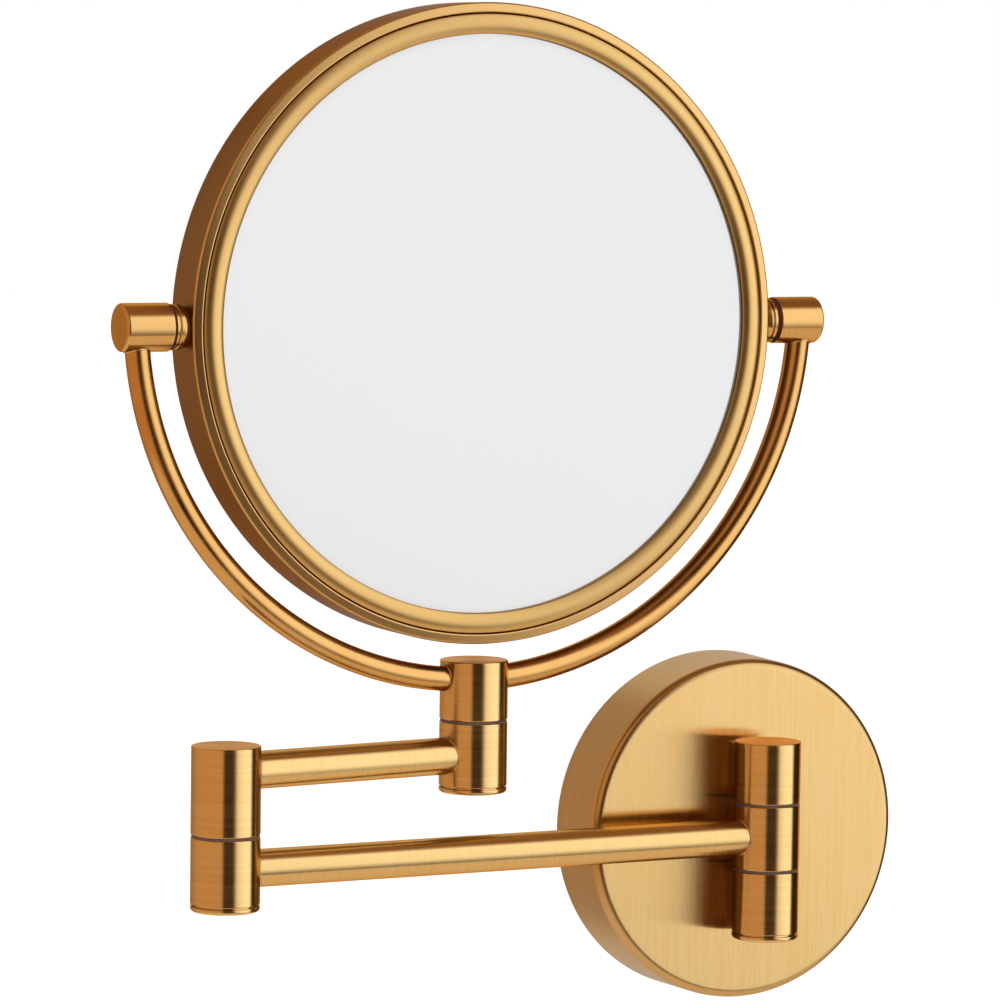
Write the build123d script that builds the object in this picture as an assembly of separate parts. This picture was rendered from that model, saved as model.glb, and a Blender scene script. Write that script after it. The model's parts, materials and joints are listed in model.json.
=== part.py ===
from build123d import *
import math
import os

# Wall-mounted extendable shaving mirror, in millimetres.
# Origin: centre of the wall plate's back face. +Y goes into the wall, -Y into the room, +Z is up, and the
# arms reach out to -X. Both arms are shown almost folded along the wall, as the mirror is stored.

# ---------------------------------------------------------------- driving dimensions
# wall plate
COVER_RADIUS_BACK = 57.3
COVER_RADIUS_FRONT = 56.8
COVER_DEPTH = 26.2
COVER_EDGE = 3.0
COVER_WALL = 2.2
COVER_FACE = 3.0
BRACKET_RADIUS = 54.6
BRACKET_THICKNESS = 2.0
BRACKET_RIM_HEIGHT = 11.0
BRACKET_RIM_WALL = 2.0
WALL_HOLE_CIRCLE = 64.0
WALL_HOLE_COUNT = 3
WALL_HOLE_RADIUS = 2.5

# hinge posts, three stacks of barrels on vertical pins
POST_RADIUS = 11.0
HINGE_STANDOFF = 40.1
JOINT_GAP = 0.8
FACE_GAP = 0.05
ARM_1_KNUCKLE = 21.2
UPPER_WALL_KNUCKLE = 20.0
LOWER_WALL_KNUCKLE = 20.6
ELBOW_KNUCKLE = 28.0
SWIVEL_LOWER_KNUCKLE = 20.8
SWIVEL_UPPER_KNUCKLE = 19.1
SWIVEL_ARM_RISE = 10.0
POST_EDGE = 0.4
CAP_DISC = 1.7
CAP_LINE = 0.5
FOOT_WIDTH = 13.0
FOOT_INSET = 1.5

# pins and what turns on them
PIN_RADIUS = 3.0
PIN_HEAD_RADIUS = 5.0
PIN_HEAD = 2.6
SPRING_WASHER = 0.9
RUNNING_GAP = 0.04
FIXED_GAP = 0.02
BUSH_RADIUS = 4.5
BUSH_SLEEVE = 6.0
FLANGE_INSET = 0.25
PIN_THREAD_DEPTH = 7.5
COUNTERBORE_RADIUS = 6.2
COUNTERBORE_DEPTH = 6.5
CAP_PLUG = 1.8

# arms
ARM_RADIUS = 6.0
ARM_WALL = 1.2
LONG_ARM = 194.7
SHORT_ARM = 91.8
SHORT_ARM_FOLD = 6.5
SHORT_ARM_HEIGHT = 30.9
SOCKET_DEPTH = 4.0

# yoke
YOKE_ROD_RADIUS = 4.0
YOKE_RADIUS = 118.3
YOKE_CENTRE_RISE = 3.7
PIVOT_HEIGHT = 169.9
BARREL_RADIUS = 7.65
BARREL_INNER = 108.0
BARREL_LENGTH = 16.0
ROD_SOCKET = 3.2
PIVOT_SCREW_RADIUS = 2.0
PIVOT_SCREW_HEAD_RADIUS = 3.6
PIVOT_SCREW_HEAD = 1.9
PIVOT_THREAD_DEPTH = 8.0
LEFT_PIVOT_WASHER = 0.8
RIGHT_PIVOT_WASHER = 1.5
COLLAR_RADIUS = 7.1
COLLAR_FOOT_RADIUS = 6.2

# mirror head, whose depths are measured forward from the pivot axis
HEAD_RADIUS = 102.5
HEAD_FRONT = 8.8
HEAD_REAR = 10.7
BAND_WALL = 1.4
LIP_INNER_RADIUS = 99.2
LIP_DEPTH = 3.2
LIP_SLOPE = 0.8
LIP_ROUND = 0.9
BEZEL_RADIUS = 98.9
BEZEL_INNER_RADIUS = 92.5
BEAD_STEP = 1.2
BEAD_RISE = 0.9
SKIRT_WALL = 1.2
SKIRT_DEPTH = 3.3
SNAP_RIDGE = 0.7
SNAP_HEIGHT = 1.6
GLASS_RADIUS = 97.0
GLASS_RECESS = 1.7
GLASS_THICKNESS = 3.0
MAGNIFIER_CURVE = 640.0
SPACER_WALL = 3.0
PAD_RADIUS = 70.0
PAD_THICKNESS = 2.0

# small screws
SET_SCREW_RADIUS = 2.0
SET_SCREW_LENGTH = 5.0
KNUCKLE_SCREW_RADIUS = 2.0
KNUCKLE_SCREW_HEAD_RADIUS = 3.5
KNUCKLE_SCREW_HEAD = 2.6
KNUCKLE_SCREW_GRIP = 5.5
KNUCKLE_SCREW_SPACING = 9.0
HEX_KEY_FLATS = 2.5

# ---------------------------------------------------------------- places worked out from them
half_knuckle = ARM_1_KNUCKLE / 2
wall_axis = Vector(0, -HINGE_STANDOFF, 0)
elbow_axis = wall_axis + Vector(-LONG_ARM, 0, 0)
fold = math.radians(SHORT_ARM_FOLD)
short_arm_direction = Vector(math.cos(fold), math.sin(fold), 0)
post_axis = elbow_axis + short_arm_direction * SHORT_ARM
head_centre = Vector(post_axis.X, post_axis.Y, PIVOT_HEIGHT)

elbow_joint_height = half_knuckle + JOINT_GAP
elbow_top = elbow_joint_height + ELBOW_KNUCKLE
wall_top = elbow_joint_height + UPPER_WALL_KNUCKLE
wall_bottom = -elbow_joint_height - LOWER_WALL_KNUCKLE
swivel_bottom = SHORT_ARM_HEIGHT - SWIVEL_ARM_RISE
swivel_joint_height = swivel_bottom + SWIVEL_LOWER_KNUCKLE
swivel_top = swivel_joint_height + JOINT_GAP + SWIVEL_UPPER_KNUCKLE

front_face = HEAD_FRONT - GLASS_RECESS
rear_face = HEAD_REAR - GLASS_RECESS


# ---------------------------------------------------------------- shared builders
def turned(*corners):
    """Solid of revolution about Z. Each corner is (radius, height) or (radius, height, rounding)."""
    points = [(corner[0], corner[1]) for corner in corners]
    roundings = [corner[2] if len(corner) > 2 else 0 for corner in corners]
    outline = make_face(FilletPolyline(*points, radius=roundings, close=True))
    return revolve(Plane.XZ * outline, Axis.Z)


def rod(radius, bottom, top):
    """Upright cylinder on the Z axis between two heights."""
    return Pos(0, 0, (bottom + top) / 2) * Cylinder(radius, top - bottom)


def ring(inner, outer, bottom, top):
    """Upright ring on the Z axis between two heights."""
    return rod(outer, bottom, top) - rod(inner, bottom - 1, top + 1)


def at(place, solid):
    """Stand a solid made on the Z axis on another vertical axis."""
    return Pos(place.X, place.Y, 0) * solid


def along(start, direction, solid):
    """Lay a solid made on the Z axis along a direction, from a start point."""
    return Plane(start, z_dir=direction).location * solid


def save(shape, node):
    shape.label = node
    export_step(shape, "parts/" + node + ".step")


# ---------------------------------------------------------------- wall plate and bracket
def wall_cover(screw_places):
    """Cup with a slightly drafted side, open towards the wall."""
    inner_back = COVER_RADIUS_BACK - COVER_WALL
    inner_front = COVER_RADIUS_FRONT - COVER_WALL
    shell = turned(
        (0, COVER_DEPTH),
        (COVER_RADIUS_FRONT, COVER_DEPTH, COVER_EDGE),
        (COVER_RADIUS_BACK, 0),
        (inner_back, 0),
        (inner_front, COVER_DEPTH - COVER_FACE, COVER_EDGE / 2),
        (0, COVER_DEPTH - COVER_FACE),
    )
    shell = Rot(90, 0, 0) * shell
    for place in screw_places:
        hole = Cylinder(KNUCKLE_SCREW_RADIUS + 0.2, 2 * COVER_DEPTH)
        shell -= Pos(place.X, 0, place.Z) * Rot(90, 0, 0) * hole
    return shell - set_screw_hole(SET_SCREW_RADIUS + FIXED_GAP)


def wall_bracket():
    """Pan with a rim that the cover slides over, and holes for the wall screws."""
    rim_inner = BRACKET_RADIUS - BRACKET_RIM_WALL
    pan = turned(
        (0, 0),
        (BRACKET_RADIUS, 0, 0.6),
        (BRACKET_RADIUS, BRACKET_RIM_HEIGHT),
        (rim_inner, BRACKET_RIM_HEIGHT),
        (rim_inner, BRACKET_THICKNESS, 1.0),
        (0, BRACKET_THICKNESS),
    )
    holes = PolarLocations(WALL_HOLE_CIRCLE / 2, WALL_HOLE_COUNT, start_angle=90)
    pan -= holes * Cylinder(WALL_HOLE_RADIUS, 4 * BRACKET_THICKNESS)
    pan = Rot(90, 0, 0) * pan
    return pan - set_screw_hole(SET_SCREW_RADIUS + 0.1)


def set_screw_axis():
    """Start and direction of the set screw: up from the bottom of the plate's side."""
    start = Vector(0, -BRACKET_RIM_HEIGHT / 2 - 1, -COVER_RADIUS_BACK + 0.5)
    return start, Vector(0, 0, 1)


def set_screw_hole(radius):
    start, direction = set_screw_axis()
    return along(start, direction, rod(radius, -3, SET_SCREW_LENGTH + 0.6))


def cover_set_screw():
    start, direction = set_screw_axis()
    screw = turned(
        (0, 0),
        (SET_SCREW_RADIUS, 0, 0.3),
        (SET_SCREW_RADIUS, SET_SCREW_LENGTH - 1),
        (SET_SCREW_RADIUS - 1, SET_SCREW_LENGTH),
        (0, SET_SCREW_LENGTH),
    )
    return along(start, direction, screw - hex_socket(0, 2.0))


def hex_socket(height, depth):
    """Hexagon recess for a key, cut upwards from a height."""
    recess = extrude(RegularPolygon(HEX_KEY_FLATS / 2, 6, major_radius=False), depth + 1)
    return Pos(0, 0, height - 1) * recess


# ---------------------------------------------------------------- hinge posts
def barrel(bottom, top):
    """Plain barrel of a post with slightly broken edges."""
    return turned(
        (0, bottom),
        (POST_RADIUS, bottom, POST_EDGE),
        (POST_RADIUS, top, POST_EDGE),
        (0, top),
    )


def hinge_cap(bottom_of_knuckle):
    """Cap that plugs the counterbore. A narrow neck leaves a fine line under the barrel."""
    line = bottom_of_knuckle - CAP_LINE
    base = line - CAP_DISC
    plug_top = bottom_of_knuckle + CAP_PLUG
    plug_radius = COUNTERBORE_RADIUS - FIXED_GAP
    return turned(
        (0, base),
        (POST_RADIUS, base, 1.1),
        (POST_RADIUS, line, 0.2),
        (POST_RADIUS - 0.7, line),
        (POST_RADIUS - 0.7, bottom_of_knuckle),
        (plug_radius, bottom_of_knuckle),
        (plug_radius, plug_top, 0.4),
        (0, plug_top),
    )


def hinge_pin(bottom_of_knuckle, thread_top):
    """Shoulder pin: its head sits in the counterbore, its end is fixed in the topmost barrel."""
    head_top = bottom_of_knuckle + COUNTERBORE_DEPTH - SPRING_WASHER
    head_bottom = head_top - PIN_HEAD
    pin = turned(
        (0, head_bottom),
        (PIN_HEAD_RADIUS, head_bottom, 0.4),
        (PIN_HEAD_RADIUS, head_top),
        (PIN_RADIUS, head_top),
        (PIN_RADIUS, thread_top, 0.6),
        (0, thread_top),
    )
    return pin - hex_socket(head_bottom, 1.6)


def spring_washer(bottom_of_knuckle):
    """Disc spring between the pin's head and the counterbore's floor."""
    top = bottom_of_knuckle + COUNTERBORE_DEPTH - FACE_GAP
    bottom = bottom_of_knuckle + COUNTERBORE_DEPTH - SPRING_WASHER
    return ring(PIN_RADIUS + 0.1, PIN_HEAD_RADIUS, bottom, top)


def bottom_knuckle(bottom, top):
    """Lowest barrel of a post: bored for the pin, counterbored for its head."""
    solid = barrel(bottom, top)
    solid -= rod(PIN_RADIUS + RUNNING_GAP, bottom, top + 1)
    return solid - rod(COUNTERBORE_RADIUS, bottom - 1, bottom + COUNTERBORE_DEPTH)


def bush(joint_height, side):
    """Flanged plastic bush. Its flange shows as a fine dark line between two barrels.

    side is -1 where its sleeve goes down from the joint, +1 where it goes up.
    """
    bore = PIN_RADIUS + RUNNING_GAP
    solid = turned(
        (bore, -BUSH_SLEEVE),
        (BUSH_RADIUS, -BUSH_SLEEVE, 0.4),
        (BUSH_RADIUS, 0),
        (POST_RADIUS - FLANGE_INSET, 0),
        (POST_RADIUS - FLANGE_INSET, JOINT_GAP - FACE_GAP),
        (bore, JOINT_GAP - FACE_GAP),
    )
    if side > 0:
        solid = Rot(180, 0, 0) * solid
    return Pos(0, 0, joint_height) * solid


def foot(bottom, top):
    """Block that carries a wall barrel on the face of the cover, at its final place."""
    depth = HINGE_STANDOFF - COVER_DEPTH
    height = top - bottom - 2 * FOOT_INSET
    block = Box(FOOT_WIDTH, depth, height)
    block = fillet(block.edges().filter_by(Axis.Y), 2.0)
    return Pos(0, -COVER_DEPTH - depth / 2, (top + bottom) / 2) * block


def knuckle_screw_places():
    """Heads' seats on the inner side of the cover's face, two for each wall barrel."""
    seat = -COVER_DEPTH + COVER_FACE
    places = []
    for bottom, top in ((elbow_joint_height, wall_top), (wall_bottom, -elbow_joint_height)):
        for side in (-0.5, 0.5):
            height = (bottom + top) / 2 + side * KNUCKLE_SCREW_SPACING
            places.append(Vector(0, seat, height))
    return places


def knuckle_screw(place):
    shank = COVER_FACE + KNUCKLE_SCREW_GRIP
    screw = turned(
        (0, -KNUCKLE_SCREW_HEAD),
        (KNUCKLE_SCREW_HEAD_RADIUS, -KNUCKLE_SCREW_HEAD, 0.5),
        (KNUCKLE_SCREW_HEAD_RADIUS, 0),
        (KNUCKLE_SCREW_RADIUS, 0),
        (KNUCKLE_SCREW_RADIUS, shank, 0.5),
        (0, shank),
    )
    screw -= hex_socket(-KNUCKLE_SCREW_HEAD, 1.4)
    return along(place, Vector(0, -1, 0), screw)


def tap_for_screws(solid, places):
    """Cut the blind tapped holes that the knuckle screws hold in."""
    for place in places:
        hole = rod(KNUCKLE_SCREW_RADIUS + FIXED_GAP, 0, COVER_FACE + KNUCKLE_SCREW_GRIP + 0.5)
        solid -= along(place, Vector(0, -1, 0), hole)
    return solid


def wall_knuckles(places):
    upper = at(wall_axis, barrel(elbow_joint_height, wall_top))
    upper += foot(elbow_joint_height, wall_top)
    upper -= at(wall_axis, rod(PIN_RADIUS + FIXED_GAP, 0, elbow_joint_height + PIN_THREAD_DEPTH))
    lower = at(wall_axis, barrel(wall_bottom, -elbow_joint_height)) + foot(wall_bottom, -elbow_joint_height)
    lower -= at(wall_axis, rod(PIN_RADIUS + RUNNING_GAP, wall_bottom - 1, 0))
    lower -= at(wall_axis, rod(COUNTERBORE_RADIUS, wall_bottom - 1, wall_bottom + COUNTERBORE_DEPTH))
    return tap_for_screws(upper, places[:2]), tap_for_screws(lower, places[2:])


# ---------------------------------------------------------------- arms
def arm_tube(start, direction, length, height):
    """Tube between two posts, let into a socket in each barrel."""
    reach = POST_RADIUS - SOCKET_DEPTH
    tube = ring(ARM_RADIUS - ARM_WALL, ARM_RADIUS, reach, length - reach)
    return along(start + Vector(0, 0, height), direction, tube)


def arm_socket(start, direction, height):
    """Cut in a barrel that takes the end of an arm tube."""
    socket = rod(ARM_RADIUS + FIXED_GAP, POST_RADIUS - SOCKET_DEPTH, 2 * POST_RADIUS)
    return along(start + Vector(0, 0, height), direction, socket)


def long_arm_inner_knuckle():
    solid = barrel(-half_knuckle, half_knuckle) - rod(PIN_RADIUS + 0.3, -POST_RADIUS, POST_RADIUS)
    for side in (-1, 1):
        solid -= Pos(0, 0, side * half_knuckle) * Cylinder(BUSH_RADIUS + FIXED_GAP, 2 * BUSH_SLEEVE)
    return at(wall_axis, solid) - arm_socket(wall_axis, Vector(-1, 0, 0), 0)


def long_arm_outer_knuckle():
    solid = bottom_knuckle(-half_knuckle, half_knuckle)
    solid -= Pos(0, 0, half_knuckle) * Cylinder(BUSH_RADIUS + FIXED_GAP, 2 * BUSH_SLEEVE)
    return at(elbow_axis, solid) - arm_socket(elbow_axis, Vector(1, 0, 0), 0)


def short_arm_inner_knuckle():
    solid = barrel(elbow_joint_height, elbow_top)
    solid -= rod(PIN_RADIUS + FIXED_GAP, 0, elbow_joint_height + PIN_THREAD_DEPTH)
    return at(elbow_axis, solid) - arm_socket(elbow_axis, short_arm_direction, SHORT_ARM_HEIGHT)


def short_arm_outer_knuckle():
    solid = bottom_knuckle(swivel_bottom, swivel_joint_height)
    solid -= Pos(0, 0, swivel_joint_height) * Cylinder(BUSH_RADIUS + FIXED_GAP, 2 * BUSH_SLEEVE)
    return at(post_axis, solid) - arm_socket(post_axis, -short_arm_direction, SHORT_ARM_HEIGHT)


# ---------------------------------------------------------------- yoke
def yoke_rod(radius):
    """Round bar bent to a half circle under the head, its ends up in the pivot barrels."""
    centre = Vector(head_centre.X, head_centre.Y, PIVOT_HEIGHT + YOKE_CENTRE_RISE)
    end_height = PIVOT_HEIGHT - BARREL_RADIUS + ROD_SOCKET
    lift = math.degrees(math.asin((centre.Z - end_height) / YOKE_RADIUS))
    section = Plane.XZ * Pos(YOKE_RADIUS, 0) * Circle(radius)
    bend = revolve(section, Axis.Z, 180 - 2 * lift)
    return Pos(centre.X, centre.Y, centre.Z) * Rot(90, 0, 0) * Rot(0, 0, lift - 180) * bend


def yoke_knuckle():
    solid = barrel(swivel_joint_height + JOINT_GAP, swivel_top)
    thread_top = swivel_joint_height + JOINT_GAP + PIN_THREAD_DEPTH
    solid -= rod(PIN_RADIUS + FIXED_GAP, 0, thread_top)
    return at(post_axis, solid) - yoke_rod(YOKE_ROD_RADIUS + FIXED_GAP)


def pivot_side(side, solid):
    """Move a solid made on the Z axis to a pivot: side -1 is left, +1 is right, and Z points outwards."""
    return along(head_centre, Vector(side, 0, 0), solid)


def pivot_barrel(side):
    end = BARREL_INNER + BARREL_LENGTH
    solid = turned(
        (0, BARREL_INNER),
        (BARREL_RADIUS, BARREL_INNER, 0.3),
        (BARREL_RADIUS, end, 1.1),
        (0, end),
    )
    solid -= rod(PIVOT_SCREW_RADIUS + FIXED_GAP, BARREL_INNER - 1, BARREL_INNER + PIVOT_THREAD_DEPTH)
    return pivot_side(side, solid) - yoke_rod(YOKE_ROD_RADIUS + FIXED_GAP)


def pivot_screw(side):
    """Shoulder screw from inside the band: the head turns on it, and its end is fixed in the barrel."""
    head_top = HEAD_RADIUS - BAND_WALL - SPRING_WASHER
    head_bottom = head_top - PIVOT_SCREW_HEAD
    end = BARREL_INNER + PIVOT_THREAD_DEPTH - 0.5
    screw = turned(
        (0, head_bottom),
        (PIVOT_SCREW_HEAD_RADIUS, head_bottom, 0.4),
        (PIVOT_SCREW_HEAD_RADIUS, head_top),
        (PIVOT_SCREW_RADIUS, head_top),
        (PIVOT_SCREW_RADIUS, end, 0.5),
        (0, end),
    )
    return pivot_side(side, screw - hex_socket(head_bottom, 1.2))


def pivot_spring_washer(side):
    top = HEAD_RADIUS - BAND_WALL - 2 * FACE_GAP
    bottom = HEAD_RADIUS - BAND_WALL - SPRING_WASHER + FACE_GAP
    solid = ring(PIVOT_SCREW_RADIUS + 0.1, PIVOT_SCREW_HEAD_RADIUS, bottom, top)
    return pivot_side(side, solid)


def washer_thickness(side):
    """The thicker washer is on the right, where the head was shimmed to the middle."""
    return LEFT_PIVOT_WASHER if side < 0 else RIGHT_PIVOT_WASHER


def pivot_washer(side):
    inner_end = BARREL_INNER - washer_thickness(side)
    solid = ring(PIVOT_SCREW_RADIUS + 0.05, BARREL_RADIUS - 0.4, inner_end, BARREL_INNER)
    return pivot_side(side, solid)


# ---------------------------------------------------------------- mirror head
def pivot_collar(side):
    """Rounded collar on the band that spaces the head from the barrel, with a fine rim at its outer end."""
    end = BARREL_INNER - washer_thickness(side) - FACE_GAP
    base = HEAD_RADIUS - BAND_WALL / 2
    solid = turned(
        (0, base),
        (COLLAR_FOOT_RADIUS, base),
        (COLLAR_FOOT_RADIUS, HEAD_RADIUS),
        (COLLAR_RADIUS, HEAD_RADIUS + 1.8, 1.7),
        (COLLAR_RADIUS, end - 1.3, 0.5),
        (COLLAR_RADIUS - 0.5, end - 1.1),
        (COLLAR_RADIUS + 0.1, end - 0.9, 0.2),
        (COLLAR_RADIUS + 0.1, end),
        (0, end),
    )
    solid -= rod(PIVOT_SCREW_RADIUS + RUNNING_GAP, HEAD_RADIUS - 2, BARREL_INNER)
    return pivot_side(side, solid) - band_body()


def head_frame(solid):
    """Turn a solid made on the Z axis, whose +Z is forward, to face the room at the head's place."""
    return Pos(head_centre.X, head_centre.Y, head_centre.Z) * Rot(90, 0, 0) * solid


def band_body():
    """Hoop whose front and rear lips turn inwards and slope back to a rounded outer edge."""
    inner = HEAD_RADIUS - BAND_WALL
    return head_frame(turned(
        (HEAD_RADIUS, HEAD_FRONT - LIP_SLOPE, LIP_ROUND),
        (HEAD_RADIUS, LIP_SLOPE - HEAD_REAR, LIP_ROUND),
        (LIP_INNER_RADIUS, -HEAD_REAR, 0.5),
        (LIP_INNER_RADIUS, LIP_DEPTH - HEAD_REAR),
        (inner, LIP_DEPTH - HEAD_REAR, 0.5),
        (inner, HEAD_FRONT - LIP_DEPTH, 0.5),
        (LIP_INNER_RADIUS, HEAD_FRONT - LIP_DEPTH),
        (LIP_INNER_RADIUS, HEAD_FRONT, 0.5),
    ))


def head_band():
    solid = band_body()
    for side in (-1, 1):
        solid -= pivot_side(side, rod(PIVOT_SCREW_RADIUS + RUNNING_GAP, HEAD_RADIUS - 4, HEAD_RADIUS + 4))
    return solid


def bezel(glass_face):
    """Ring with a low rounded bead over the glass edge, and a ridge that snaps behind the lip of the band."""
    bead_foot = glass_face + BEAD_STEP
    skirt_end = glass_face - SKIRT_DEPTH
    skirt_inner = BEZEL_RADIUS - SKIRT_WALL
    middle = (BEZEL_INNER_RADIUS + BEZEL_RADIUS) / 2
    bead = ThreePointArc(
        (BEZEL_INNER_RADIUS, bead_foot),
        (middle, bead_foot + BEAD_RISE),
        (BEZEL_RADIUS, bead_foot),
    )
    back = Polyline(
        (BEZEL_RADIUS, bead_foot),
        (BEZEL_RADIUS, skirt_end + SNAP_HEIGHT),
        (BEZEL_RADIUS + SNAP_RIDGE, skirt_end + SNAP_HEIGHT - 0.3),
        (BEZEL_RADIUS, skirt_end),
        (skirt_inner, skirt_end),
        (skirt_inner, glass_face),
        (BEZEL_INNER_RADIUS, glass_face),
        (BEZEL_INNER_RADIUS, bead_foot),
    )
    outline = make_face([*bead.edges(), *back.edges()])
    return revolve(Plane.XZ * outline, Axis.Z)


def front_glass():
    """Plain looking glass."""
    return turned(
        (0, front_face - GLASS_THICKNESS),
        (GLASS_RADIUS, front_face - GLASS_THICKNESS, 0.3),
        (GLASS_RADIUS, front_face, 0.6),
        (0, front_face),
    )


def magnifier_point(radius, curve):
    """Point of a half section through the bent glass, on the sphere of the given curve."""
    centre = -rear_face - math.sqrt(MAGNIFIER_CURVE ** 2 - GLASS_RADIUS ** 2)
    return radius, centre + math.sqrt(curve ** 2 - radius ** 2)


def rear_glass():
    """Magnifying glass, hollow towards the rear."""
    arcs = []
    for curve in (MAGNIFIER_CURVE, MAGNIFIER_CURVE + GLASS_THICKNESS):
        arcs.append(ThreePointArc(*[magnifier_point(share * GLASS_RADIUS, curve) for share in (0, 0.5, 1)]))
    hollow, bulge = arcs
    ends = [Line(hollow @ share, bulge @ share) for share in (0, 1)]
    outline = make_face([hollow.edge(), bulge.edge(), *ends])
    return revolve(Plane.XZ * outline, Axis.Z)


def glass_spacer():
    """Ring that keeps the two glasses apart at their rims."""
    inner = GLASS_RADIUS - SPACER_WALL
    rear = magnifier_point(inner, MAGNIFIER_CURVE + GLASS_THICKNESS)[1] + FACE_GAP
    return ring(inner, GLASS_RADIUS, rear, front_face - GLASS_THICKNESS)


def glass_pad():
    """Soft disc behind the middle of the plain glass."""
    top = front_face - GLASS_THICKNESS
    return rod(PAD_RADIUS, top - PAD_THICKNESS, top)


# ---------------------------------------------------------------- write one file for each piece
os.makedirs("parts", exist_ok=True)

screw_places = knuckle_screw_places()
save(wall_cover(screw_places), "wall_cover")
save(wall_bracket(), "wall_bracket")
save(cover_set_screw(), "cover_set_screw")
save(Compound(children=[knuckle_screw(place) for place in screw_places]), "knuckle_screws")

upper_wall_knuckle, lower_wall_knuckle = wall_knuckles(screw_places)
save(upper_wall_knuckle, "upper_wall_knuckle")
save(lower_wall_knuckle, "lower_wall_knuckle")
save(at(wall_axis, hinge_pin(wall_bottom, elbow_joint_height + PIN_THREAD_DEPTH - 0.5)), "wall_hinge_pin")
save(at(wall_axis, spring_washer(wall_bottom)), "wall_hinge_spring_washer")
save(at(wall_axis, hinge_cap(wall_bottom)), "wall_hinge_cap")

save(long_arm_inner_knuckle(), "long_arm_inner_knuckle")
save(at(wall_axis, bush(half_knuckle, -1)), "upper_wall_bush")
save(at(wall_axis, bush(-half_knuckle, 1)), "lower_wall_bush")
save(arm_tube(wall_axis, Vector(-1, 0, 0), LONG_ARM, 0), "long_arm_tube")
save(long_arm_outer_knuckle(), "long_arm_outer_knuckle")
save(at(elbow_axis, bush(half_knuckle, -1)), "elbow_bush")
save(at(elbow_axis, hinge_cap(-half_knuckle)), "elbow_cap")

save(short_arm_inner_knuckle(), "short_arm_inner_knuckle")
save(at(elbow_axis, hinge_pin(-half_knuckle, elbow_joint_height + PIN_THREAD_DEPTH - 0.5)), "elbow_pin")
save(at(elbow_axis, spring_washer(-half_knuckle)), "elbow_spring_washer")
save(arm_tube(elbow_axis, short_arm_direction, SHORT_ARM, SHORT_ARM_HEIGHT), "short_arm_tube")
save(short_arm_outer_knuckle(), "short_arm_outer_knuckle")
save(at(post_axis, bush(swivel_joint_height, -1)), "swivel_bush")
save(at(post_axis, hinge_cap(swivel_bottom)), "swivel_cap")

save(yoke_knuckle(), "yoke_knuckle")
swivel_pin_end = swivel_joint_height + JOINT_GAP + PIN_THREAD_DEPTH - 0.5
save(at(post_axis, hinge_pin(swivel_bottom, swivel_pin_end)), "swivel_pin")
save(at(post_axis, spring_washer(swivel_bottom)), "swivel_spring_washer")
save(yoke_rod(YOKE_ROD_RADIUS), "yoke_rod")
for side, name in ((-1, "left"), (1, "right")):
    save(pivot_barrel(side), name + "_pivot_barrel")
    save(pivot_screw(side), name + "_pivot_screw")
    save(pivot_washer(side), name + "_pivot_washer")
    save(pivot_collar(side), name + "_pivot_collar")
    save(pivot_spring_washer(side), name + "_pivot_spring_washer")

save(head_band(), "head_band")
save(head_frame(bezel(front_face)), "front_bezel")
save(head_frame(front_glass()), "front_glass")
save(head_frame(Rot(180, 0, 0) * bezel(rear_face)), "rear_bezel")
save(head_frame(rear_glass()), "rear_glass")
save(head_frame(glass_spacer()), "glass_spacer")
save(head_frame(glass_pad()), "glass_pad")
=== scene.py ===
"""Looks, light and camera for the extendable shaving mirror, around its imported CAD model."""
import json
import math

import bpy
from mathutils import Matrix, Vector


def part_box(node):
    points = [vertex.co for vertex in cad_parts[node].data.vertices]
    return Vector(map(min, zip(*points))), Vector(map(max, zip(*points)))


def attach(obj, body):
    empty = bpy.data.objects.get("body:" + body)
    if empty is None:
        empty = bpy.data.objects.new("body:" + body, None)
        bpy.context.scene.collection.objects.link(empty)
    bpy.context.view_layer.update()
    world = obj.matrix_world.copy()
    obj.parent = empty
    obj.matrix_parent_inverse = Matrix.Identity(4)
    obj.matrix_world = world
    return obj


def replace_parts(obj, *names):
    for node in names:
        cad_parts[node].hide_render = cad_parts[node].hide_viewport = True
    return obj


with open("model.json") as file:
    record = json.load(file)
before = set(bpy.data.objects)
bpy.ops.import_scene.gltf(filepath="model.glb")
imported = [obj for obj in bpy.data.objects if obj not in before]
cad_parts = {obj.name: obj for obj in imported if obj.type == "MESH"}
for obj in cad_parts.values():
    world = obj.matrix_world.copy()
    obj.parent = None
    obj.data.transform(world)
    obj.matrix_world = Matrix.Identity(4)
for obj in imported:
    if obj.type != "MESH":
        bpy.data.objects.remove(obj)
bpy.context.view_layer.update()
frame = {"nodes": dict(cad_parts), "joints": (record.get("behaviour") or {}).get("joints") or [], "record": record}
nodes = frame["nodes"]
pivots = {joint["name"]: Vector(joint["pos_m"]) for joint in frame["joints"]}

MM = 0.001
POST_RADIUS = 11 * MM
ARM_RADIUS = 6 * MM
YOKE_BAR = 4 * MM
YOKE_RADIUS = 118.3 * MM
YOKE_RISE = 3.7 * MM
YOKE_SOCKET = 3.2 * MM
BARREL_RADIUS = 7.65 * MM
BEAD_RISE = 0.9 * MM
BEAD_STEP = 1.2 * MM
LIP_SLOPE = 0.8 * MM
CROWN = 0.5 * MM
MAGNIFIER_CURVE = 640 * MM
GLASS_THICKNESS = 3 * MM
CENTRE_GAP = 0.02 * MM

# ---------------------------------------------------------------- camera
CAMERA_PLACE = Vector((-0.8131, -1.4643, 0.2491))
CAMERA_AZIMUTH = -26.594
CAMERA_ELEVATION = 4.852
CAMERA_ROLL = 0.745
CAMERA_LENS = 179.9


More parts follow.
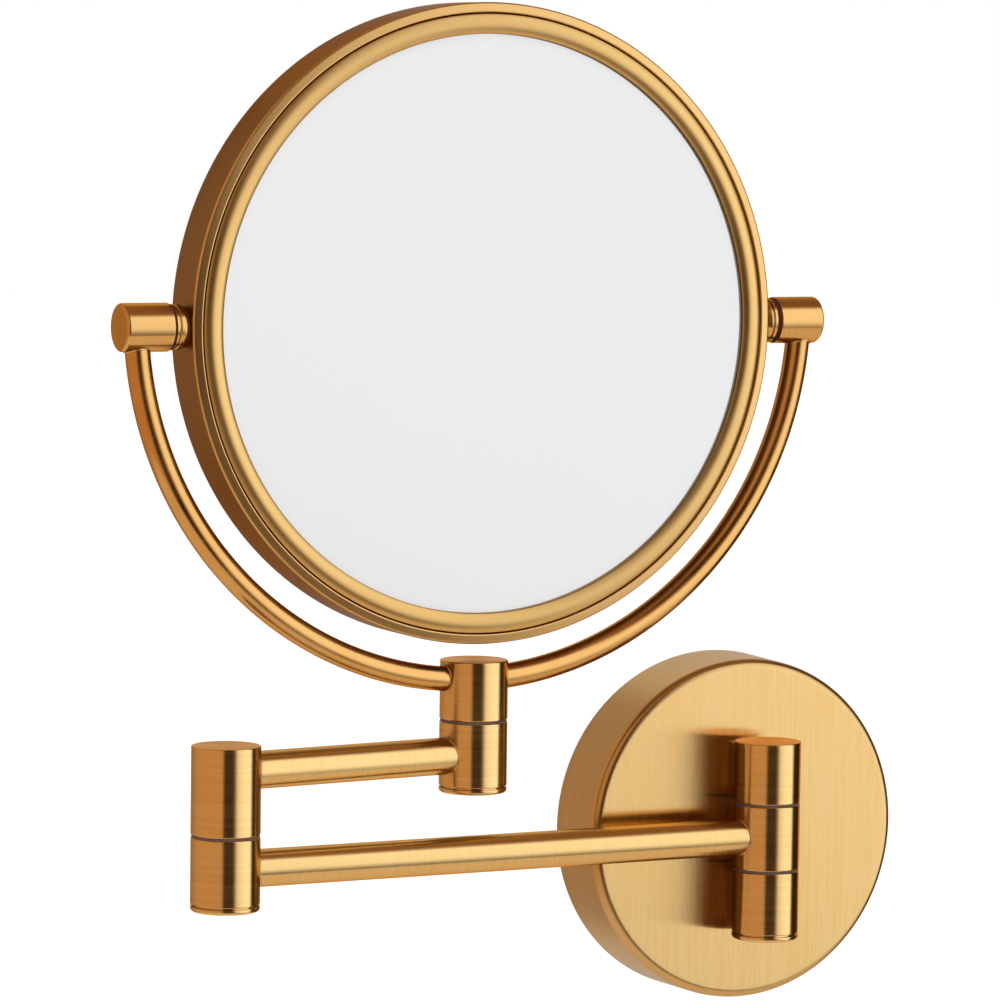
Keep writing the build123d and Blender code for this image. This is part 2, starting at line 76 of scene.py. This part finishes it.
def add_camera():
    """Long lens, to the left of the mirror and a little above its middle."""
    azimuth, elevation, roll = (math.radians(a) for a in (CAMERA_AZIMUTH, CAMERA_ELEVATION, CAMERA_ROLL))
    ahead = Vector((
        -math.sin(azimuth) * math.cos(elevation),
        math.cos(azimuth) * math.cos(elevation),
        -math.sin(elevation),
    ))
    right = Vector((math.cos(azimuth), math.sin(azimuth), 0))
    up = right.cross(ahead)
    rolled_right = right * math.cos(roll) + up * math.sin(roll)
    rolled_up = up * math.cos(roll) - right * math.sin(roll)
    data = bpy.data.cameras.new("camera")
    data.lens = CAMERA_LENS
    data.clip_start, data.clip_end = 0.05, 200
    camera = bpy.data.objects.new("camera", data)
    camera.matrix_world = Matrix((
        (rolled_right.x, rolled_up.x, -ahead.x, CAMERA_PLACE.x),
        (rolled_right.y, rolled_up.y, -ahead.y, CAMERA_PLACE.y),
        (rolled_right.z, rolled_up.z, -ahead.z, CAMERA_PLACE.z),
        (0, 0, 0, 1),
    ))
    bpy.context.scene.collection.objects.link(camera)
    bpy.context.scene.camera = camera


# ---------------------------------------------------------------- node helpers
class Tree:
    """Short ways to add shader nodes to one node tree."""

    def __init__(self, owner):
        owner.use_nodes = True
        self.tree = owner.node_tree
        self.tree.nodes.clear()

    def add(self, kind, **settings):
        node = self.tree.nodes.new(kind)
        for name, value in settings.items():
            setattr(node, name, value)
        return node

    def feed(self, socket, value):
        if isinstance(value, bpy.types.NodeSocket):
            self.tree.links.new(value, socket)
        else:
            socket.default_value = value

    def math(self, operation, first, second=0.0):
        node = self.add("ShaderNodeMath", operation=operation)
        self.feed(node.inputs[0], first)
        self.feed(node.inputs[1], second)
        return node.outputs[0]

    def vector(self, operation, first, second=(0, 0, 0)):
        node = self.add("ShaderNodeVectorMath", operation=operation)
        self.feed(node.inputs[0], first)
        self.feed(node.inputs[1], second)
        return node.outputs["Value" if operation in ("LENGTH", "DOT_PRODUCT") else "Vector"]

    def step(self, value, start, end, low=0.0, high=1.0):
        """Smooth change from low at start to high at end."""
        node = self.add("ShaderNodeMapRange", interpolation_type="SMOOTHSTEP")
        sockets = ("Value", "From Min", "From Max", "To Min", "To Max")
        for socket, given in zip(sockets, (value, start, end, low, high)):
            self.feed(node.inputs[socket], given)
        return node.outputs[0]

    def window(self, value, rise_start, rise_end, fall_start, fall_end):
        """1 between two soft edges and 0 outside them."""
        rise = self.step(value, rise_start, rise_end)
        fall = self.step(value, fall_start, fall_end, 1.0, 0.0)
        return self.math("MULTIPLY", rise, fall)

    def mix(self, share, first, second):
        node = self.add("ShaderNodeMix", data_type="RGBA")
        self.feed(node.inputs["Factor"], share)
        self.feed(node.inputs["A"], first)
        self.feed(node.inputs["B"], second)
        return node.outputs["Result"]

    def noise(self, vector, scale, detail=2.0, roughness=0.5):
        node = self.add("ShaderNodeTexNoise")
        self.feed(node.inputs["Vector"], vector)
        node.inputs["Scale"].default_value = scale
        node.inputs["Detail"].default_value = detail
        node.inputs["Roughness"].default_value = roughness
        return node.outputs["Fac"]


# ---------------------------------------------------------------- studio
LEFT_CARD = (0.61, 0.345, 0.175, 1)
BEHIND_LEFT = (0.46, 0.33, 0.24, 1)
DARK_CARD = (0.03, 0.013, 0.006, 1)
SOFTBOX = (1.36, 1.35, 1.32, 1)
SOFTBOX_EDGE = (1.3, 0.85, 0.5, 1)
FLOOR_GLOW = (0.8, 0.64, 0.49, 1)
OVERHEAD = (0.3, 0.14, 0.06, 1)
RIGHT_CARD = (0.38, 0.3, 0.22, 1)
BEHIND_CARD = (0.75, 0.66, 0.55, 1)
WHITE = (1, 1, 1, 1)
BLACK = (0, 0, 0, 1)
# Edges of the cards in degrees, as (start, end) of a soft change. Azimuth is 0 towards the room and grows to the right.
LEFT_CARD_EDGE = (-37, -26)
BEHIND_LEFT_EDGE = (-120, -165)
RIGHT_CARD_EDGE = (105, 135)
BEHIND_CARD_EDGE = (140, 150)
CEILING_EDGE = (44, 56)
FLOOR_EDGE = (-31, -36)
SOFTBOX_SIDES = (0, 18, 64, 76)
SOFTBOX_TINT_EDGE = (4, 18)
SOFTBOX_FOOT = (-24, 12)
SOFTBOX_LEAN = 0.5
SECOND_BOUNCE_LOSS = 0.7


def add_world():
    """White behind the mirror. In the metal: a softbox to the right, a warm card to the left and dark between them."""
    world = bpy.data.worlds.new("studio")
    bpy.context.scene.world = world
    t = Tree(world)
    direction = t.add("ShaderNodeTexCoord").outputs["Generated"]
    split = t.add("ShaderNodeSeparateXYZ")
    t.feed(split.inputs[0], direction)
    x, y, z = split.outputs
    azimuth = t.math("MULTIPLY", t.math("ARCTAN2", x, t.math("MULTIPLY", y, -1.0)), math.degrees(1))
    elevation = t.math("MULTIPLY", t.math("ARCSINE", z), math.degrees(1))
    light = t.mix(t.step(azimuth, *LEFT_CARD_EDGE), LEFT_CARD, DARK_CARD)
    light = t.mix(t.step(azimuth, *BEHIND_LEFT_EDGE), light, BEHIND_LEFT)
    light = t.mix(t.step(azimuth, *RIGHT_CARD_EDGE), light, RIGHT_CARD)
    light = t.mix(t.step(azimuth, *BEHIND_CARD_EDGE), light, BEHIND_CARD)
    light = t.mix(t.step(elevation, *CEILING_EDGE), light, OVERHEAD)
    light = t.mix(t.step(elevation, *FLOOR_EDGE), light, FLOOR_GLOW)
    path = t.add("ShaderNodeLightPath")
    second = t.step(path.outputs["Glossy Depth"], 1.0, 2.0)
    light = t.mix(t.math("MULTIPLY", second, SECOND_BOUNCE_LOSS), light, BLACK)
    foot = t.math("ADD", elevation, t.math("MULTIPLY", azimuth, SOFTBOX_LEAN))
    box_up = t.math("MULTIPLY", t.step(foot, *SOFTBOX_FOOT), t.step(elevation, *CEILING_EDGE, 1.0, 0.0))
    box_across = t.window(azimuth, *SOFTBOX_SIDES)
    above_floor = t.step(elevation, *FLOOR_EDGE[::-1])
    box = t.math("MULTIPLY", t.math("MULTIPLY", box_across, box_up), above_floor)
    light = t.mix(box, light, t.mix(t.step(azimuth, *SOFTBOX_TINT_EDGE), SOFTBOX_EDGE, SOFTBOX))
    background = t.add("ShaderNodeBackground")
    t.feed(background.inputs["Color"], t.mix(path.outputs["Is Glossy Ray"], WHITE, light))
    output = t.add("ShaderNodeOutputWorld")
    t.feed(output.inputs["Surface"], background.outputs[0])


FLOOR_HEIGHT = -1.4
FLOOR_SIZE = 60.0
FLOOR_COLOR = (0.9, 0.9, 0.89, 1)
FLOOR_EMISSION = 0.25


def add_floor():
    """Plain pale floor, well below the mirror, which hangs on a wall."""
    bpy.ops.mesh.primitive_plane_add(size=FLOOR_SIZE, location=(0, 0, FLOOR_HEIGHT))
    floor = bpy.context.object
    floor.name = "floor"
    material = bpy.data.materials.new("pale_floor")
    t = Tree(material)
    shader = t.add("ShaderNodeBsdfPrincipled")
    shader.inputs["Base Color"].default_value = FLOOR_COLOR
    shader.inputs["Roughness"].default_value = 0.6
    shader.inputs["Emission Color"].default_value = WHITE
    shader.inputs["Emission Strength"].default_value = FLOOR_EMISSION
    t.feed(t.add("ShaderNodeOutputMaterial").inputs["Surface"], shader.outputs[0])
    floor.data.materials.append(material)
    floor.visible_glossy = False


def add_lamp(name, place, size, power):
    """Soft lamp for the floor and the plastic, which doesn't show in the metal's reflections."""
    data = bpy.data.lights.new(name, "AREA")
    data.shape = "DISK"
    data.size = size
    data.energy = power
    lamp = bpy.data.objects.new(name, data)
    lamp.location = place
    lamp.rotation_euler = (-Vector(place)).to_track_quat("-Z", "Y").to_euler()
    lamp.visible_glossy = False
    lamp.visible_camera = False
    bpy.context.scene.collection.objects.link(lamp)


# ---------------------------------------------------------------- materials
GOLD = (0.78, 0.52, 0.205)
GOLD_LIGHT = (0.86, 0.615, 0.28)
# Lighter gold for edges: partly rubbed wear, partly a painted highlight.
GOLD_WEAR_AND_GLINT = (0.88, 0.7, 0.4)
GRAZING_GOLD = (0.8, 0.52, 0.32)
PLAIN_SHADE = (1, 1, 1)
# Noise periods per metre: across the brushed lines, along them, and the share of that for the broad lines
FINE = 3200.0
LONG = 22.0
BROAD = 0.3
CLOUD = 45.0
EDGE_WIDTH = 0.4 * MM
LINE_DEPTH = 0.02 * MM
GRAIN_DEPTH = 0.05 * MM


def new_material(name):
    material = bpy.data.materials.new(name)
    t = Tree(material)
    shader = t.add("ShaderNodeBsdfPrincipled")
    t.feed(t.add("ShaderNodeOutputMaterial").inputs["Surface"], shader.outputs[0])
    return material, t, shader


def shaded(color, shade):
    return tuple(c * s for c, s in zip(color, shade)) + (1,)


def brushed_gold(
    name, stretch, tangent, roughness=0.22, anisotropy=0.85, grain=0.2,
    shade=PLAIN_SHADE, contrast=5.0, edge=GRAZING_GOLD,
):
    """Lacquered gold-tone brass with fine brushed lines, which run the way that stretch is low.

    The gloss is stretched along or round the piece. Lines and faint clouds vary the colour and the roughness, and
    edges are painted lighter and glossier: partly rubbed wear, partly a painted highlight along them.
    """
    material, t, shader = new_material(name)
    place = t.add("ShaderNodeTexCoord").outputs["Object"]
    lines = t.noise(t.vector("MULTIPLY", place, stretch), 1.0, 3.0, 0.65)
    broad_lines = t.noise(t.vector("MULTIPLY", place, tuple(BROAD * s for s in stretch)), 1.0, 2.0)
    cloud = t.noise(place, CLOUD, 3.0)
    tone = t.math("ADD", t.math("MULTIPLY", lines, 0.4), t.math("MULTIPLY", broad_lines, 0.4))
    tone = t.math("ADD", tone, t.math("MULTIPLY", cloud, 0.2))
    # Edge mask: edges get lighter, glossier gold, partly as rubbed wear and partly as a painted highlight.
    bevel = t.add("ShaderNodeBevel", samples=4)
    bevel.inputs["Radius"].default_value = EDGE_WIDTH
    flat = t.vector("DOT_PRODUCT", bevel.outputs[0], t.add("ShaderNodeNewGeometry").outputs["Normal"])
    wear_and_glint = t.math("MULTIPLY", t.step(flat, 0.995, 0.9), t.step(cloud, 0.35, 0.6, 0.3, 0.9))
    lighter = t.step(tone, 0.5 - 1 / contrast, 0.5 + 1 / contrast)
    color = t.mix(lighter, shaded(GOLD, shade), shaded(GOLD_LIGHT, shade))
    t.feed(shader.inputs["Base Color"], t.mix(wear_and_glint, color, shaded(GOLD_WEAR_AND_GLINT, shade)))
    satin = t.step(tone, 0.3, 0.7, roughness - 0.035, roughness + 0.045)
    t.feed(shader.inputs["Roughness"], t.math("SUBTRACT", satin, t.math("MULTIPLY", wear_and_glint, 0.06)))
    shader.inputs["Metallic"].default_value = 1.0
    shader.inputs["Specular Tint"].default_value = shaded(edge, shade)
    shader.inputs["Anisotropic"].default_value = anisotropy
    if tangent == "UV":
        direction = t.add("ShaderNodeTangent", direction_type="UV_MAP", uv_map="UVMap")
    else:
        direction = t.add("ShaderNodeTangent", direction_type="RADIAL", axis=tangent)
        shader.inputs["Anisotropic Rotation"].default_value = 0.25
    t.feed(shader.inputs["Tangent"], direction.outputs[0])
    bump = t.add("ShaderNodeBump")
    bump.inputs["Strength"].default_value = grain
    bump.inputs["Distance"].default_value = LINE_DEPTH
    t.feed(bump.inputs["Height"], lines)
    t.feed(shader.inputs["Normal"], bump.outputs[0])
    return material


def plain(name, color, roughness, metallic=0.0, grain=300.0, gloss=0.5):
    """Moulded plastic, foam or bare steel with a fine uneven surface."""
    material, t, shader = new_material(name)
    place = t.add("ShaderNodeTexCoord").outputs["Object"]
    cloud = t.noise(place, grain, 3.0)
    darker = tuple((0.93 if metallic else 0.8) * c for c in color[:3]) + (1,)
    t.feed(shader.inputs["Base Color"], t.mix(t.step(cloud, 0.3, 0.7), darker, color))
    t.feed(shader.inputs["Roughness"], t.step(cloud, 0.3, 0.7, roughness - 0.05, roughness + 0.05))
    shader.inputs["Metallic"].default_value = metallic
    shader.inputs["Specular IOR Level"].default_value = gloss
    bump = t.add("ShaderNodeBump")
    bump.inputs["Strength"].default_value = 0.2
    bump.inputs["Distance"].default_value = GRAIN_DEPTH
    t.feed(bump.inputs["Height"], cloud)
    t.feed(shader.inputs["Normal"], bump.outputs[0])
    return material


def looking_glass():
    """Silvered glass, clean and slightly cool, with the faint haze that keeps a mirror from looking black."""
    material, t, shader = new_material("looking_glass")
    cloud = t.noise(t.add("ShaderNodeTexCoord").outputs["Object"], 8.0, 2.0)
    t.feed(shader.inputs["Base Color"], t.mix(cloud, (0.6, 0.605, 0.615, 1), (0.615, 0.62, 0.63, 1)))
    shader.inputs["Metallic"].default_value = 0.76
    shader.inputs["Roughness"].default_value = 0.03
    return material


# ---------------------------------------------------------------- mesh helpers
def round_corners(profile, steps=6):
    """Points of an outline, where each (a, b, r) is a corner rounded to radius r and (a, b) is a sharp one."""
    points = []
    for i, corner in enumerate(profile):
        here = Vector(corner[:2])
        if len(corner) == 2:
            points.append(here)
            continue
        before = (Vector(profile[i - 1][:2]) - here).normalized()
        after = (Vector(profile[(i + 1) % len(profile)][:2]) - here).normalized()
        half = before.angle(after) / 2
        reach = corner[2] / math.tan(half)
        middle = here + (before + after).normalized() * (corner[2] / math.sin(half))
        first, last = here + before * reach - middle, here + after * reach - middle
        sweep = first.angle_signed(last)
        for k in range(steps + 1):
            turn = Matrix.Rotation(-sweep * k / steps, 2)
            points.append(middle + turn @ first)
    return points


def even_shading(piece):
    piece.modifiers.new("even_shading", "WEIGHTED_NORMAL").keep_sharp = True


def add_piece(name, vertices, faces, uvs, body, slot, material):
    """Smooth mesh object that rides on a body. uvs has one (u, v) for each corner, face by face."""
    mesh = bpy.data.meshes.new(name)
    mesh.from_pydata(vertices, [], faces)
    layer = mesh.uv_layers.new(name="UVMap")
    for loop, uv in zip(layer.data, uvs):
        loop.uv = uv
    for polygon in mesh.polygons:
        polygon.use_smooth = True
    mesh.materials.append(material)
    piece = bpy.data.objects.new(name, mesh)
    bpy.context.scene.collection.objects.link(piece)
    even_shading(piece)
    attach(piece, body)
    return piece


def grid(rings, closed_along):
    """Quads over rings of points, with u round each ring and v from ring to ring. Open ends get a flat cap.

    Gives the vertices, the faces and each face corner's (u, v).
    """
    count = len(rings[0])
    vertices = [point for ring in rings for point in ring]
    faces, uvs = [], []
    spans = len(rings) if closed_along else len(rings) - 1
    for i in range(spans):
        for j in range(count):
            k, m = (i + 1) % len(rings), (j + 1) % count
            faces.append((i * count + j, k * count + j, k * count + m, i * count + m))
            u, v, next_u, next_v = j / count, i / spans, (j + 1) / count, (i + 1) / spans
            uvs += [(u, v), (u, next_v), (next_u, next_v), (next_u, v)]
    if not closed_along:
        first = list(range(count))
        faces += [first, [len(vertices) - 1 - j for j in first]]
        uvs += [(j / count, share) for share in (0, 1) for j in first]
    return vertices, faces, uvs


def lathe(name, profile, centre, body, material, segments=288, slot="brushed_gold"):
    """Turn (radius, forward) points about the line through centre that runs to the room.

    The outline goes round the piece, or from its middle in front to its middle behind.
    """
    rings = []
    turns = [math.tau * j / segments for j in range(segments)]
    for radius, forward in profile:
        rings.append([centre + Vector((radius * math.cos(a), -forward, radius * math.sin(a))) for a in turns])
    reaches_middle = profile[0][0] <= CENTRE_GAP
    return add_piece(name, *grid(rings, not reaches_middle), body, slot, material)


def sweep(name, path, radius, sides, body, material, closed=False):
    """Round bar along a path of points."""
    rings = []
    count = len(path)
    turns = [math.tau * j / sides for j in range(sides)]
    for i, point in enumerate(path):
        before, after = path[i - 1], path[(i + 1) % count]
        if not closed:
            before, after = path[max(i - 1, 0)], path[min(i + 1, count - 1)]
        ahead = (after - before).normalized()
        side = ahead.cross(Vector((0, 1, 0)))
        if side.length < 0.3:
            side = ahead.cross(Vector((0, 0, 1)))
        side.normalize()
        up = side.cross(ahead)
        rings.append([point + radius * (side * math.cos(a) + up * math.sin(a)) for a in turns])
    return add_piece(name, *grid(rings, closed), body, "brushed_gold", material)


# ---------------------------------------------------------------- pieces
HOOP_WALL = 1.4 * MM
LIP_WIDTH = 3.3 * MM
LIP_DEPTH = 3.2 * MM
OUTER_ROUND = 0.9 * MM
INNER_ROUND = 0.5 * MM
BEAD_SETBACK = 0.7 * MM
BEZEL_WIDTH = 7.1 * MM
SKIRT_HEIGHT = 3.3 * MM
SKIRT_WALL = 1.2 * MM
RIDGE = (1.3 * MM, 1.6 * MM)
GLASS_STEPS = 24
YOKE_STEPS = 192
WELD_RADIUS = 0.32 * MM
WELD_STEPS = 72
PLATE_WALL = 2.2 * MM
PLATE_ROUND = 3.0 * MM
PLATE_TAPER = 0.5 * MM
SCREW_HOLE_RADIUS = 2.1 * MM
SCREW_HOLE_LENGTH = 8 * MM
# Rings on the plate's face, as shares of its radius
FACE_RINGS = (0.2, 0.4, 0.6, 0.75, 0.85, 0.92)


def centre_of(node):
    low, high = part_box(node)
    return (low + high) / 2


def weld_rim(name, post, bar_ahead, post_axis, post_radius, bar_radius, body, material):
    """Bead of solder round a bar, where it goes into the side of a post."""
    across = bar_ahead.cross(post_axis).normalized()
    path = []
    for k in range(WELD_STEPS):
        angle = math.tau * k / WELD_STEPS
        sideways, along = bar_radius * math.cos(angle), bar_radius * math.sin(angle)
        reach = math.sqrt(post_radius ** 2 - sideways ** 2)
        path.append(post + bar_ahead * reach + across * sideways + post_axis * along)
    return sweep(name, path, WELD_RADIUS, 10, body, material, closed=True)


def add_hoop(look):
    """The head's hoop, with its lips, and its outer side in a darker copy of the gold: painted shade."""
    head = pivots["head_tilt"]
    low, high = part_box("head_band")
    radius, front, rear = (high.x - low.x) / 2, head.y - low.y, high.y - head.y
    inner, lip = radius - HOOP_WALL, radius - LIP_WIDTH
    outline = round_corners([
        (radius, front - LIP_SLOPE, OUTER_ROUND),
        (radius, LIP_SLOPE - rear, OUTER_ROUND),
        (lip, -rear, INNER_ROUND),
        (lip, LIP_DEPTH - rear),
        (inner, LIP_DEPTH - rear, INNER_ROUND),
        (inner, front - LIP_DEPTH, INNER_ROUND),
        (lip, front - LIP_DEPTH),
        (lip, front, INNER_ROUND),
    ])
    band = lathe("head_hoop", outline, head, "mirror_head", look["hoop"])
    band.data.materials.append(look["hoop_side_painted_shade"])
    # Outer side faces take the darker copy of the gold: painted shade.
    for polygon in band.data.polygons:
        out = polygon.center - head
        if abs(polygon.normal.y) < 0.2 and math.hypot(out.x, out.z) > radius - 0.2 * MM:
            polygon.material_index = 1
    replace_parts(band, "head_band")


def bezel_outline(ridge_radius, top):
    """Low rounded bead on a short skirt, as (radius, height) points."""
    outer, inner = ridge_radius - BEAD_SETBACK, ridge_radius - BEZEL_WIDTH
    foot = top - BEAD_RISE
    half = (outer - inner) / 2
    bend = (half * half + BEAD_RISE ** 2) / (2 * BEAD_RISE)
    spread = math.asin(half / bend)
    points = []
    for k in range(25):
        angle = spread * (k / 12 - 1)
        points.append(((inner + outer) / 2 + bend * math.sin(angle), top - bend + bend * math.cos(angle)))
    face = foot - BEAD_STEP
    skirt = face - SKIRT_HEIGHT
    points += [(outer, skirt + RIDGE[1]), (ridge_radius, skirt + RIDGE[0]), (outer, skirt)]
    points += [(outer - SKIRT_WALL, skirt), (outer - SKIRT_WALL, face), (inner, face)]
    return points


def add_bezels(look):
    head = pivots["head_tilt"]
    for name, node, facing in (("front_ring", "front_bezel", 1), ("rear_ring", "rear_bezel", -1)):
        low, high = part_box(node)
        top = head.y - low.y if facing > 0 else high.y - head.y
        ring = [(r, facing * f) for r, f in bezel_outline((high.x - low.x) / 2, top)][::facing]
        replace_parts(lathe(name, ring, head, "mirror_head", look["bezel"]), node)


def add_magnifier(look):
    """Magnifying glass, hollow towards the rear."""
    head = pivots["head_tilt"]
    low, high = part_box("rear_glass")
    radius, rim = (high.x - low.x) / 2, head.y - high.y
    base = rim - math.sqrt(MAGNIFIER_CURVE ** 2 - radius ** 2)
    reaches = [radius * k / GLASS_STEPS for k in range(GLASS_STEPS + 1)]
    reaches[0] = CENTRE_GAP
    bulge, hollow = (
        [(reach, base + math.sqrt(curve ** 2 - reach ** 2)) for reach in reaches]
        for curve in (MAGNIFIER_CURVE + GLASS_THICKNESS, MAGNIFIER_CURVE)
    )
    outline = bulge + hollow[::-1]
    dish = lathe("magnifying_glass", outline, head, "mirror_head", look["glass"], 192, "looking_glass")
    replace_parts(dish, "rear_glass")


def add_yoke(look):
    """The yoke's bent bar, and the solder rims where bars go into posts."""
    head = pivots["head_tilt"]
    middle = head + Vector((0, 0, YOKE_RISE))
    foot = head.z - (BARREL_RADIUS - YOKE_SOCKET)
    lift = math.asin((middle.z - foot) / YOKE_RADIUS)
    path = []
    for k in range(YOKE_STEPS + 1):
        angle = math.pi + lift + (math.pi - 2 * lift) * k / YOKE_STEPS
        path.append(middle + YOKE_RADIUS * Vector((math.cos(angle), 0, math.sin(angle))))
    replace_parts(sweep("yoke_bar", path, YOKE_BAR, 40, "yoke", look["bar"]), "yoke_rod")

    wall, elbow, post = pivots["wall_hinge"], pivots["elbow_hinge"], pivots["yoke_swivel"]
    up, right, flat = Vector((0, 0, 1)), Vector((1, 0, 0)), Vector((1, 1, 0))
    reach = Vector((post.x - elbow.x, post.y - elbow.y, 0)).normalized()
    arm_low = Vector((0, 0, centre_of("long_arm_tube").z))
    arm_high = Vector((0, 0, centre_of("short_arm_tube").z))
    yoke_low = Vector((0, 0, path[YOKE_STEPS // 2].z + 0.3 * MM))

    def add_weld(name, *where):
        weld_rim(name, *where, look["weld"])

    add_weld("weld_wall", wall * flat + arm_low, -right, up, POST_RADIUS, ARM_RADIUS, "long_arm")
    add_weld("weld_elbow_low", elbow * flat + arm_low, right, up, POST_RADIUS, ARM_RADIUS, "long_arm")
    add_weld("weld_elbow_high", elbow * flat + arm_high, reach, up, POST_RADIUS, ARM_RADIUS, "short_arm")
    add_weld("weld_post", post * flat + arm_high, -reach, up, POST_RADIUS, ARM_RADIUS, "short_arm")
    tilt = Vector((0, 0, POST_RADIUS / YOKE_RADIUS))
    for side, name in ((-1, "left"), (1, "right")):
        ahead = (side * right + tilt).normalized()
        add_weld("weld_yoke_" + name, post * flat + yoke_low, ahead, up, POST_RADIUS, YOKE_BAR, "yoke")
        place = Vector((middle.x + side * YOKE_RADIUS * math.cos(lift), head.y, head.z))
        add_weld("weld_pivot_" + name, place, -up, right, BARREL_RADIUS, YOKE_BAR, "yoke")


def add_cover(look):
    """Round wall plate with upright brushing on its face and a hole for the set screw."""
    low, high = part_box("wall_cover")
    back, deep = (high.x - low.x) / 2, high.y - low.y
    front = back - PLATE_TAPER
    axis = Vector(((low.x + high.x) / 2, high.y, (low.z + high.z) / 2))
    outline = round_corners([
        (0, deep),
        (front, deep, PLATE_ROUND),
        (back, 0),
        (back - PLATE_WALL, 0),
        (front - PLATE_WALL, deep - PLATE_ROUND, PLATE_ROUND / 2),
        (0, deep - PLATE_ROUND),
    ], 14)
    outline[0].x = outline[-1].x = CENTRE_GAP
    for point in outline:
        if point.y > deep / 2:
            point.y -= CROWN * (point.x / front) ** 2
    outline[1:1] = [Vector((front * share, deep - CROWN * share * share)) for share in FACE_RINGS]
    cover = lathe("wall_plate", outline, axis, "wall_mount", look["plate"], segments=256)
    cover.data.materials.append(look["plate_side"])
    layer = cover.data.uv_layers[0]
    for polygon in cover.data.polygons:
        if polygon.normal.y < -0.96:
            for loop in polygon.loop_indices:
                place = cover.data.vertices[cover.data.loops[loop].vertex_index].co
                layer.data[loop].uv = (place.x, place.z)
        else:
            # The side wall takes the darker copy of the plate's gold: painted shade.
            polygon.material_index = 1
    hole = centre_of("cover_set_screw")
    hole.z = low.z
    drill(cover, hole, SCREW_HOLE_LENGTH, SCREW_HOLE_RADIUS)
    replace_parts(cover, "wall_cover")


def drill(piece, middle, length, radius):
    """Round upright hole through a piece."""
    piece.modifiers.clear()
    bpy.ops.mesh.primitive_cylinder_add(vertices=40, radius=radius, depth=length, location=middle)
    cutter = bpy.context.object
    cut = piece.modifiers.new("hole", "BOOLEAN")
    cut.operation, cut.solver, cut.object = "DIFFERENCE", "EXACT", cutter
    bpy.context.view_layer.update()
    evaluated = piece.evaluated_get(bpy.context.evaluated_depsgraph_get())
    mesh = bpy.data.meshes.new_from_object(evaluated)
    piece.modifiers.clear()
    piece.data = mesh
    bpy.data.objects.remove(cutter, do_unlink=True)
    mesh.set_sharp_from_angle(angle=math.radians(40))
    even_shading(piece)


def dress(node, material):
    for slot in nodes[node].material_slots:
        slot.material = material


def dress_all():
    """A finish for each CAD node, by its slot and the way that it was turned. Gives the finishes by name."""
    round_lines = (LONG, FINE, LONG)
    level_lines = (FINE, LONG, LONG)
    look = {
        "upright": brushed_gold("brushed_gold_upright", (LONG, LONG, FINE), "Z"),
        "across": brushed_gold("brushed_gold_across", level_lines, "X"),
        # Darker, more orange copy of the gold for the pivot barrels and collars: painted shade.
        "pivot": brushed_gold("brushed_gold_pivot", level_lines, "X", shade=(0.95, 0.84, 0.72)),
        "hoop": brushed_gold("brushed_gold_hoop", round_lines, "UV", 0.3, shade=(0.98, 0.92, 0.85)),
        # Darker, bluer copy of the hoop's gold for its outer side: painted shade.
        "hoop_side_painted_shade": brushed_gold(
            "brushed_gold_hoop_side", round_lines, "UV", 0.3, 0.6, shade=(0.56, 0.53, 0.66),
        ),
        "bezel": brushed_gold(
            "brushed_gold_bezel", round_lines, "UV", 0.36, 0.75, 0.15, shade=(0.97, 0.93, 0.85),
        ),
        # Darker, more orange copy of the gold for the yoke bar: painted shade over the whole bar.
        "bar": brushed_gold("brushed_gold_bar", (90.0,) * 3, "UV", 0.19, 0.8, 0.1, shade=(0.9, 0.75, 0.6)),
        "weld": brushed_gold("brushed_gold_weld", (400.0,) * 3, "UV", 0.2, 0.0, 0.3),
        "plate": brushed_gold(
            "brushed_gold_plate", (2600.0, 70.0, 70.0), "UV", 0.22, 0.95, 0.9, (0.95, 0.93, 0.92), 11.0,
        ),
        # Darker copy of the plate's gold for its side wall: painted shade.
        "plate_side": brushed_gold(
            "brushed_gold_plate_side", round_lines, "UV", 0.3, 0.6, 0.15, (0.85, 0.84, 0.85), edge=WHITE[:3],
        ),
        "glass": looking_glass(),
    }
    washer = plain("washer_plastic", (0.045, 0.011, 0.006, 1), 0.6, gloss=0.05)
    by_slot = {
        "looking_glass": look["glass"],
        "bush_plastic": plain("bush_plastic", (0.1, 0.055, 0.04, 1), 0.5, gloss=0.2),
        "steel": plain("steel", (0.6, 0.6, 0.6, 1), 0.3, 1.0, 1500.0),
        "spring_steel": plain("spring_steel", (0.35, 0.35, 0.37, 1), 0.35, 1.0),
        "spacer_plastic": plain("spacer_plastic", (0.05, 0.05, 0.055, 1), 0.5),
        "foam": plain("foam", (0.08, 0.08, 0.085, 1), 0.9, 0.0, 1500.0),
    }
    for part in frame["record"]["subparts"]:
        node = part["node"]
        if "pivot_washer" in node:
            dress(node, washer)
        elif "pivot_barrel" in node or "pivot_collar" in node:
            dress(node, look["pivot"])
        elif part["material_slot"] in by_slot:
            dress(node, by_slot[part["material_slot"]])
        elif "arm_tube" in node:
            dress(node, look["across"])
        else:
            dress(node, look["upright"])
    return look


# ---------------------------------------------------------------- make it
add_camera()
add_world()
add_floor()
add_lamp("overhead_lamp", (0.0, -1.0, 3.0), 4.0, 120)
look = dress_all()
for add in (add_hoop, add_bezels, add_magnifier, add_yoke, add_cover):
    add(look)
bpy.context.scene.view_settings.view_transform = "Standard"
